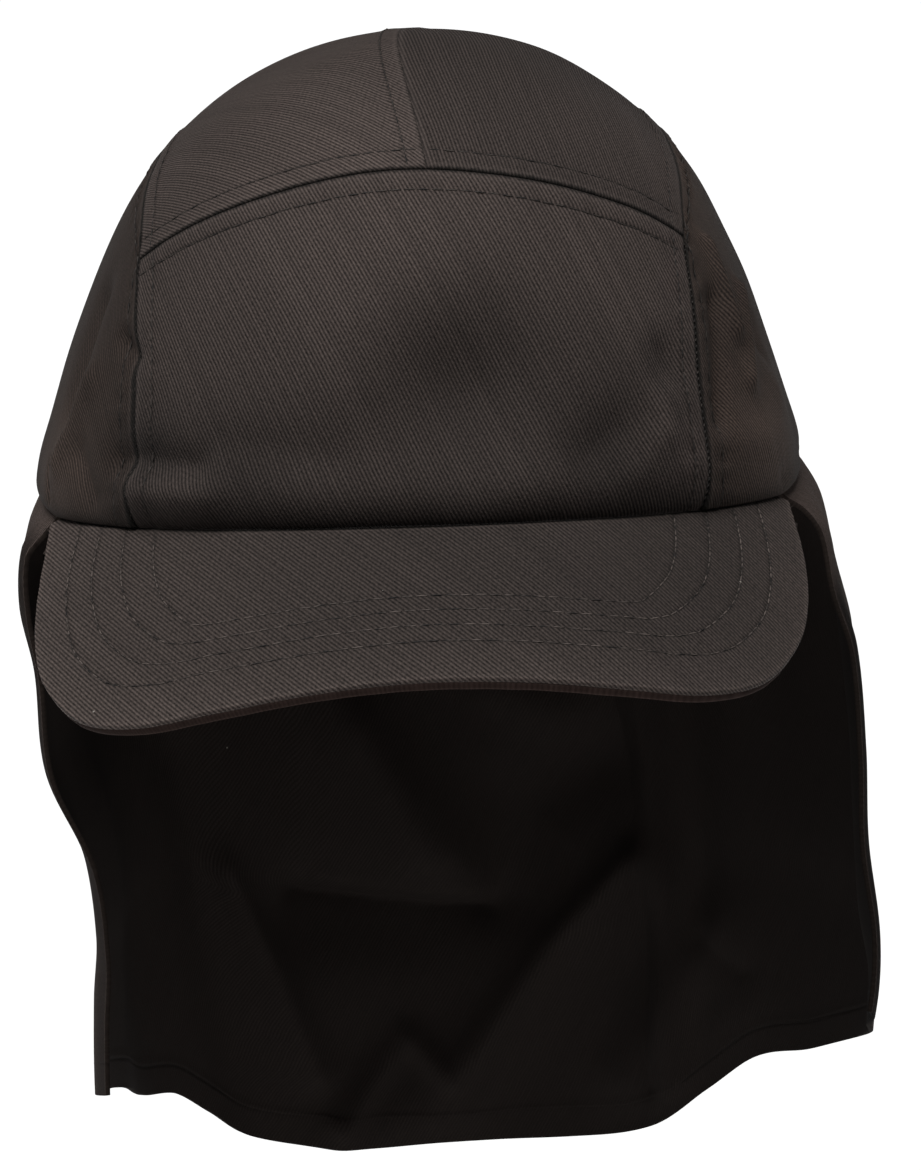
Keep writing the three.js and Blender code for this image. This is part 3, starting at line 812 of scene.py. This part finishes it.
# tone is how light the cloth is painted, with painted shade and painted light for how the light falls on
# each panel, and rimShade is a painted shade above the rim. Rolls are the reach and depth of an edge's roll.
# Faint is how much further away than it is a seam counts for its dark line, below 0 for a bolder line. Rows
# of stitches and ticks, which cross a seam, have their distances from an edge
topLook = {
    "wall": 1.1,
    "mesh": 1.15,
    "rim": "top",
    "pucker": 0.14,
    "puckerPeriod": 8,
    "rolls": {"bottom": (0.7, 0.9), "top": (1, 1), "start": (0.3, 0.25), "end": (0.5, 0.5)},
    "faint": {"start": 0.45},
    "ticks": [],
}
sideLook = {
    "wall": 1.1,
    "mesh": 1.15,
    "rim": "bottom",
    "twill": 58,
    "rolls": {"bottom": (3, 1.2), "top": (0.6, 0.6), "start": (0.8, 1), "end": (0.6, 0.6)},
    "swell": 0.6,
    "rimShade": 0.3,
    "faint": {"start": -0.5, "top": -0.2},
    "rows": [("start", 6), ("top", 4.6), ("end", 4.6)],
    "ticks": [],
}
panels = {
    "front_panel": {
        "tone": 0.62,
        "wall": 1.6,
        "mesh": 1.1,
        "rim": "bottom",
        "twill": 64,
        "pucker": 0.16,
        "puckerPeriod": 9,
        "rolls": {"bottom": (9, 2.6), "top": (1.1, 1.1), "start": (0.8, 1), "end": (0.8, 1)},
        "swell": 1.3,
        "rimShade": 0.36,
        "faint": {"start": -0.25, "end": -0.25, "top": -0.3},
        "rows": [("top", 5.6), ("start", 5.8), ("end", 4.6)],
        "ticks": [("start", 0.4), ("end", 0.4)],
    },
    "top_panel_left": {**topLook, "tone": 0.47, "twill": 84, "rows": [("bottom", 5.4), ("end", 4.6)]},
    "top_panel_right": {
        **topLook,
        "tone": 0.72,
        "twill": 47,
        "rows": [("bottom", 5.4), ("start", 4.2), ("end", 4.6)],
    },
    "side_panel_left": {**sideLook, "tone": 0.46, "pucker": 0.4, "puckerPeriod": 6},
    "side_panel_right": {**sideLook, "tone": 0.39, "pucker": 0.32, "puckerPeriod": 7},
}


def between(start, end):
    return lambda share: start + (end - start) * share


def panelEdges(name):
    if name == "front_panel":
        around = between(-crown["frontSeamAngle"], crown["frontSeamAngle"])
        return {
            "bottom": lambda u: rimPoint(around(u)),
            "top": archSeam,
            "start": lambda v: mirroredTo(-1, rightSeam(v * archCorner)),
            "end": lambda v: leftSeam(v * archCorner),
        }
    seam = leftSeam if name.endswith("left") else rightSeam
    side = 1 if name.endswith("left") else -1
    if name.startswith("top"):
        half = between(0.5, 1 if side > 0 else 0)
        around = between(180, crown["backSeamAngle"])
        return {
            "bottom": lambda u: mirroredTo(side, archSeam(half(u))),
            "top": lambda u: rimPoint(around(u)),
            "start": lambda v: mirroredTo(side, centreSeam(v)),
            "end": lambda v: seam(between(archCorner, 1)(v)),
        }
    around = between(crown["frontSeamAngle"], crown["backSeamAngle"])
    return {
        "bottom": lambda u: rimPoint(around(u)),
        "top": lambda u: seam(between(archCorner, backCorner)(u)),
        "start": lambda v: seam(v * archCorner),
        "end": lambda v: seam(between(1, backCorner)(v)),
    }


def makeCrown():
    stitches = bmesh.new()
    for name, look in panels.items():
        side = -1 if name.endswith("right") else 1
        piece, rows = sewnPanel(name + "_cloth", panelEdges(name), side, look)
        outer = "side_twill" if name.startswith("side") else "crown_twill"
        finishPiece(piece, name, sidesOf(outer))
        for row in rows:
            stitchRow(stitches, *row)
    stitchObject("crown_stitches", stitches, threadMaterial)


makeCrown()
print("crown panels and their stitching made")


peak = {
    "width": 171,
    "reach": 66,
    "drop": 19,
    "twist": 2.4,
    "camber": 2.5,
    "thickness": 3.1,
    "coverWall": 1.1,
    "coverWrap": 1,  # how far the cover goes down over the edge
    "coverRoll": 0.4,
    "lowerWall": 0.7,
    "lowerWrap": 2.1,
    "lowerRoll": 0.5,
    "gap": 0.3,
    "mesh": 1.1,
    "around": 250,  # its length along the crown, for the mesh
    "ahead": 68,
    "twill": 36,
    # side, ahead and drop of the outer edge, as shares
    "edge": [
        (0.99, 0.02, 0.05),
        (1, 0.28, 0.47),
        (0.985, 0.47, 0.74),
        (0.94, 0.63, 0.92),
        (0.84, 0.8, 1),
        (0.69, 0.908, 0.9),
        (0.5, 0.96, 0.69),
        (0.26, 0.99, 0.49),
        (0, 1, 0.41),
    ],
    # the twill is laid on level from ahead: its height on the peak counts these shares of the way
    # back and up, and its ridges get steeper to the wearer's left
    "rise": (0.25, 0.97),
    "slant": 0.003,
    # how light the cover is painted: the middle, lighter near the edge, a painted highlight along its fold,
    # painted light to the right and painted shade to the left
    "tone": 0.52,
    "edgeTone": 0.17,
    "foldHighlight": 0.3,
    "rightPaintedLight": 0.16,
    "leftPaintedShade": -0.07,
    # under the peak its own browner cloth is painted darker round the edge as painted shade, with a painted
    # highlight along the rounded edge, and lighter further in
    "lowerTone": 0.28,
    "lowerFoldHighlight": 0.3,
    "lowerMiddleTone": 0.3,
    "rows": 4,
    "rowPitch": 6.2,
    "frontInset": 13.8,
    "sideInset": 9.2,
    "insetChange": (44, 34),  # where the inset starts to change beside the middle, and over how much
    "rowTrim": 2.5,
    "rowRipple": 0.14,
    "unevenness": 0.12,
}


def insetBy(inset, points):
    level = crownNormal(points) * np.array([1, 1, 0])
    level /= np.linalg.norm(level, axis=-1, keepdims=True)
    return points + level * (spotPush(dents, points) - inset)[..., None]


def peakEdgePoint(side, ahead, drop):
    end = -rimPoint(np.array(crown["peakEndAngle"]))[1]
    reach = end + (halfLength + peak["reach"] - end) * ahead
    twist = side * peak["twist"] * smoothStep(ahead * 3)
    return [side * peak["width"] / 2, -reach, -drop * peak["drop"] + twist]


peakEdge = curveThrough(
    [peakEdgePoint(-side, ahead, drop) for side, ahead, drop in peak["edge"]]
    + [peakEdgePoint(*row) for row in peak["edge"][-2::-1]]
)


def peakFace(across, ahead):
    angle = crown["peakEndAngle"] * (1 - 2 * across)
    root = insetBy(crown["frontWall"], rimPoint(angle))
    root[..., 2] -= peak["gap"]
    points = root + (peakEdge(1 - across) - root) * ahead[..., None]
    points[..., 2] += peak["camber"] * np.sin(math.pi * across) * np.sin(math.pi * ahead)
    return points


def nearestTo(line, points):
    # distances to the nearest of a line's points, in parts so that they fit in memory
    parts = np.array_split(points.reshape(-1, 3), 40)
    found = [np.linalg.norm(part[:, None] - line[None], axis=-1).min(1) for part in parts]
    return np.concatenate(found).reshape(points.shape[:-1])


def makePeak():
    across = steps(peak["around"], peak["mesh"])
    ahead = steps(peak["ahead"], peak["mesh"], fineStart=False)
    across, ahead = np.meshgrid(across, ahead)
    face = peakFace(across, ahead)
    normals = gridNormals(face)
    outer = peakEdge(np.linspace(0, 1, 1100))
    distance = nearestTo(outer, face)
    distance[-1] = 0
    start, span = peak["insetChange"]
    sideways = smoothStep((np.abs(face[..., 0]) - start) / span)
    inset = peak["frontInset"] + (peak["sideInset"] - peak["frontInset"]) * sideways
    offsets = [distance - inset - index * peak["rowPitch"] for index in range(peak["rows"])]
    stitched = np.minimum.reduce([np.abs(each) for each in offsets])
    fold = np.clip(1 - distance / peak["coverRoll"], 0, 1)
    out = -peak["coverWrap"] * (1 - np.sqrt(1 - fold**2))
    wave = ripple(travelled(face, 1), 5.5, 0.7)
    out += peak["rowRipple"] * wave * bell(stitched, 2) * smoothStep(distance / 6)
    out += peak["unevenness"] * soft(face * 0.8)
    cover = face + normals * out[..., None]
    x, y, z = cover[..., 0], cover[..., 1], cover[..., 2]
    rise = peak["rise"][0] * y + peak["rise"][1] * z + peak["slant"] * np.maximum(x, 0) ** 2
    cloth = clothCoordinates(x, rise, peak["twill"])
    leftwards = face[..., 0] / 70
    # the cover's tone: a painted highlight along the fold, painted light to the right and painted shade to
    # the left
    tone = peak["tone"] + peak["edgeTone"] * bell(distance, 13) + peak["foldHighlight"] * bell(distance, 0.9)
    tone += peak["rightPaintedLight"] * smoothStep(-leftwards) + peak["leftPaintedShade"] * smoothStep(leftwards)
    layers = {"seam": travelled(face, 0) + 0.1, "stitch": stitched, "tone": tone}
    piece = gridObject("peak_cover", cover, cloth, layers, False)
    thicken(piece, peak["coverWall"])
    finishPiece(piece, "peak_board", sidesOf("peak_twill"))
    stitches = bmesh.new()
    for each in offsets:
        stitchRow(stitches, *lineAt(cover, normals, each, 0), {**stitchLook, "trim": peak["rowTrim"]})
    stitchObject("peak_stitches", stitches, peakHighlitThreadMaterial)
    # the cloth under the peak comes up round its edge to the cover
    fold = np.clip(1 - distance / peak["lowerRoll"], 0, 1)
    under = peak["lowerWrap"] * (1 - np.sqrt(1 - fold**2)) - peak["thickness"] + 0.1 * soft(face * 0.7 + 9)
    underside = face + normals * under[..., None]
    cloth = clothCoordinates(face[..., 0], face[..., 1], 90 + peak["twill"])
    # the under cloth's tone: painted shade round the edge and a painted highlight along it
    tone = peak["lowerTone"] + peak["lowerFoldHighlight"] * bell(distance - 0.3, 0.18)
    tone += peak["lowerMiddleTone"] * smoothStep((distance - 1) / 3)
    layers = {"seam": np.full(distance.shape, 50.0), "stitch": np.abs(distance - 4), "tone": tone}
    piece = gridObject("peak_lower_cloth", underside, cloth, layers, True)
    thicken(piece, peak["lowerWall"])
    finishPiece(piece, "peak_underside", sidesOf("peak_lower_twill"))


makePeak()
print("peak made")


flap = {
    "length": 207.5,
    "frontLength": 136,
    "skew": 7.5,
    "tuck": 6,
    "gap": 0.6,
    "startAngle": 67.5,
    "edgeReach": 0.13,
    "hemWidth": 9,
    "sideHemWidth": 6,
    "hemStitch": 1.2,  # from the top of the hem down to its stitches
    "stitchTrim": 24,
    "wall": 0.9,
    "hemWall": 1.15,
    "columns": 236,
    "rows": 128,
    "twill": 60,
    # the cloth is painted darker down the front edges and inside to the left, as painted shade, and lighter
    # near the rim, as painted light. Each shade starts below the rim, at a share of the length, and is full
    # after another share
    "tone": 0.92,
    "rimPaintedLight": 0.15,
    "shadeLeft": (0.12, 0.11),
    "shadeRight": (0.015, 0.05),
    "edgeShade": 0.6,
    "leftShade": 0.2,
    "litStrip": (0.22, 42, 4),  # a lighter band of painted light: share, degrees from the back and width
    # down, then how far the flap stands out at its left, left edge, right, right edge and back
    "sections": [
        (0, 0, 0, 0, 0, 0),
        (0.022, 0.036, 0.034, 0.02, 0.025, 0.01),
        (0.05, 0.07, 0.05, 0.048, 0.055, 0.02),
        (0.12, 0.095, 0.06, 0.08, 0.03, 0.02),
        (0.19, 0.11, 0.1, 0.04, 0.045, 0.02),
        (0.31, 0.138, 0.095, 0.028, 0.04, 0),
        (0.42, 0.148, 0.09, -0.045, 0, -0.02),
        (0.53, 0.162, 0.11, -0.07, 0, -0.045),
        (0.61, 0.19, 0.07, -0.055, 0, -0.06),
        (0.72, 0.18, 0.02, -0.045, 0, -0.08),
        (1, 0.12, 0, -0.045, 0, -0.12),
    ],
    "hemDrop": (-0.53, 0.12, 2.5),  # place, width and how much longer
    "hem": [(0, 0), (0.17, 0.02), (0.3, 0.1), (0.39, 0.27), (0.48, 0.44), (0.6, 0.54), (1, 1)],
    # each fold follows a line of places, in degrees from the back and shares of the length.
    # Then come its width and push as shares of the length, and how sharp its crest is
    "folds": [
        ([(-12, 0.45), (-2, 0.61)], 0.075, -0.024, 2),
        ([(24, 0.5), (13, 0.56), (8, 0.66), (-4, 0.7), (-20, 0.69)], 0.06, 0.026, 2),
        ([(31, 0.65), (18, 0.75), (1, 0.94), (-17, 1)], 0.05, -0.02, 2),
        ([(-18, 0.38), (-8, 0.5), (-1, 0.6), (2, 0.65)], 0.038, -0.018, 2),
        ([(10, 0.4), (20, 0.44)], 0.035, -0.013, 2),
        ([(-22, 0.66), (-8, 0.678), (6, 0.692)], 0.02, 0.02, 1.3),
        ([(-18, 0.638), (5, 0.668)], 0.016, -0.009, 1.6),
        ([(31, 0.625), (18, 0.727), (1, 0.91), (-5, 0.857), (-17, 0.97)], 0.019, -0.018, 1.5),
        ([(-38, 0.64), (-29, 0.757), (-21, 0.9)], 0.03, -0.018, 1.5),
        ([(33, 0.38), (36, 0.63), (38, 0.95)], 0.028, -0.018, 1.6),
        ([(28, 0.4), (32, 0.63), (34, 0.95)], 0.01, 0.006, 1.4),
        ([(46, 0.78), (30, 0.92)], 0.05, -0.016, 2),
        ([(52, 0.2), (50, 0.9)], 0.06, -0.02, 2),
        ([(44, 0.77), (52, 0.86)], 0.014, 0.006, 1.3),
        ([(-48, 0.5), (-34, 1)], 0.06, 0.014, 2),
        ([(-88, 0.3), (-80, 1)], 0.08, -0.02, 2),
        ([(84, 0.3), (80, 1)], 0.08, 0.02, 2),
    ],
}


def foldPush(around, down, length):
    arc = math.radians(1) * halfWidth
    across, fall = around * arc, down * length
    total = np.zeros(np.shape(around))
    for places, width, push, sharpness in flap["folds"]:
        nearest = np.full(np.shape(around), np.inf)
        for (start, top), (end, bottom) in zip(places, places[1:]):
            ax, ay, bx, by = start * arc, top * length, end * arc, bottom * length
            dx, dy = bx - ax, by - ay
            share = np.clip(((across - ax) * dx + (fall - ay) * dy) / (dx * dx + dy * dy), 0, 1)
            nearest = np.minimum(nearest, np.hypot(across - ax - share * dx, fall - ay - share * dy))
        total += push * flap["length"] * np.exp(-((nearest / (width * flap["length"])) ** sharpness))
    return total


def flapFace(across, level):
    start = flap["startAngle"]
    angle = start + (360 - 2 * start) * across
    fromBack = 180 - angle
    away = np.abs(fromBack) / (180 - start)
    shorter = smoothColumn(flap["hem"], 1, away)
    skew = flap["skew"] * fromBack / (180 - start)
    place, width, drop = flap["hemDrop"]
    length = flap["length"] + (flap["frontLength"] - flap["length"]) * shorter - skew * shorter
    length += drop * bell(fromBack / (180 - start) - place, width)
    depth = np.where(level < 1, length * (1 - level), -flap["tuck"] * (level - 1))
    down = np.maximum(depth, 0) / flap["length"]
    root = leaned(insetBy(crown["clothWall"] + flap["gap"], wallPoint(angle, -depth)))
    sine, cosine = np.sin(np.radians(angle)), np.cos(np.radians(angle))
    edge = smoothStep((away - 1) / flap["edgeReach"] + 1)
    left = smoothColumn(flap["sections"], 1, down) + smoothColumn(flap["sections"], 2, down) * edge
    right = smoothColumn(flap["sections"], 3, down) + smoothColumn(flap["sections"], 4, down) * edge
    sideways = np.where(sine > 0, left, right) * sine * np.abs(sine)
    backwards = smoothColumn(flap["sections"], 5, down) * np.maximum(-cosine, 0)
    out = root * np.array([1, 1, 0])
    out /= np.linalg.norm(out, axis=-1, keepdims=True)
    push = smoothStep(down / 0.12) * foldPush(fromBack, np.maximum(1 - level, 0), length)
    root[..., 0] += sideways * halfWidth
    root[..., 1] += backwards * halfWidth
    return root + out * push[..., None]


def makeFlap():
    middle = np.linspace(0.003, 0.997, flap["columns"])
    columns = np.concatenate([[0, 0.0006, 0.0014], middle, [0.9986, 0.9994, 1]])
    hemLevel = flap["hemWidth"] / flap["length"]
    levels = np.concatenate(
        [
            [0, 0.0015, 0.004],
            np.linspace(0.009, hemLevel - 0.003, 5),
            [hemLevel - 0.001, hemLevel + 0.001],
            np.linspace(hemLevel + 0.005, 1, flap["rows"]),
            [1.4, 2],  # tucked in behind the crown's rim
        ]
    )
    across, level = np.meshgrid(columns, levels)
    points = flapFace(across, level)
    acrossRun, upRun = travelled(points, 1), travelled(points, 0)
    acrossRun = acrossRun - acrossRun[:, len(columns) // 2][:, None]
    frontEdge = np.minimum(acrossRun - acrossRun[:, :1], acrossRun[:, -1:] - acrossRun)
    onLeft = points[..., 0] > 0
    start, span = (np.where(onLeft, *pair) for pair in zip(flap["shadeLeft"], flap["shadeRight"]))
    # painted shade below the rim down the front edges and to the left, and painted light near the rim and on
    # one lit band
    below = smoothStep((1 - level - start) / span)
    beside = smoothStep(frontEdge) * (1 - smoothStep((frontEdge - 4) / 26))
    leftwards = smoothStep(points[..., 0] / halfWidth * 2 - 0.6)
    fromBack = (180 - flap["startAngle"]) * (1 - 2 * across)
    tone = flap["tone"] * (1 - below * (flap["edgeShade"] * beside + flap["leftShade"] * leftwards))
    share, place, width = flap["litStrip"]
    tone *= 1 + flap["rimPaintedLight"] * (1 - below) + share * bell(fromBack - place, width) * below
    stitchLine = flap["hemWidth"] - flap["hemStitch"]
    layers = {"seam": np.full(points.shape[:2], 50.0), "stitch": np.abs(upRun - stitchLine), "tone": tone}
    cloth = clothCoordinates(acrossRun, upRun, flap["twill"])
    piece = gridObject("neck_flap_cloth", points, cloth, layers, False)
    double = piece.vertex_groups.new(name="hem")
    hem = 1 - smoothStep((upRun - flap["hemWidth"]) / 0.4)
    sideHem = 1 - smoothStep((frontEdge - flap["sideHemWidth"]) / 0.5)
    for index, folded in enumerate(np.maximum(hem, sideHem).ravel()):
        double.add([index], float(folded), "REPLACE")
    wall = thicken(piece, flap["hemWall"])
    wall.vertex_group = "hem"
    wall.thickness_vertex_group = flap["wall"] / flap["hemWall"]
    finishPiece(piece, "neck_flap", sidesOf("flap_twill"))
    stitches = bmesh.new()
    line = lineAt(points, gridNormals(points), upRun, stitchLine)
    stitchRow(stitches, *line, {**stitchLook, "trim": flap["stitchTrim"]})
    stitchObject("flap_stitches", stitches, threadMaterial)


makeFlap()
print("neck flap made")


studio = {
    "floorHeight": -0.34,
    "floorSize": 40,
    "floorColour": (0.62, 0.62, 0.62, 1),
    "worldStrength": 0.12,
    "sunStrength": 5.4,
    "sunAngle": 40,
    "sunPlace": (-0.16, -0.28, 1),
}


def makeStudio():
    bm = bmesh.new()
    bmesh.ops.create_grid(bm, x_segments=1, y_segments=1, size=studio["floorSize"] / 2)
    bmesh.ops.translate(bm, verts=bm.verts, vec=(0, 0, studio["floorHeight"]))
    floor = newObject("floor", meshFrom(bm, "floor"))
    paper, _, shader = newMaterial("paper")
    shader.inputs["Base Color"].default_value = studio["floorColour"]
    shader.inputs["Roughness"].default_value = 1
    floor.data.materials.append(paper)
    # the background is white to the camera and dim as a light
    world = bpy.data.worlds.new("studio")
    world.use_nodes = True
    tree = world.node_tree
    background = tree.nodes["Background"]
    background.inputs["Color"].default_value = (1, 1, 1, 1)
    seen = node(tree, "ShaderNodeLightPath").outputs["Is Camera Ray"]
    dim = studio["worldStrength"]
    tree.links.new(maths(tree, "MULTIPLY_ADD", seen, 1 - dim, dim), background.inputs["Strength"])
    bpy.context.scene.world = world
    lamp = bpy.data.lights.new("softLight", "SUN")
    lamp.energy = studio["sunStrength"]
    lamp.angle = math.radians(studio["sunAngle"])
    light = newObject("softLight", lamp)
    place = Vector(studio["sunPlace"])
    light.matrix_world = Matrix.Translation(place) @ (-place).to_track_quat("-Z", "Y").to_matrix().to_4x4()


makeStudio()
bpy.context.scene.view_settings.view_transform = "Standard"
print("studio made")
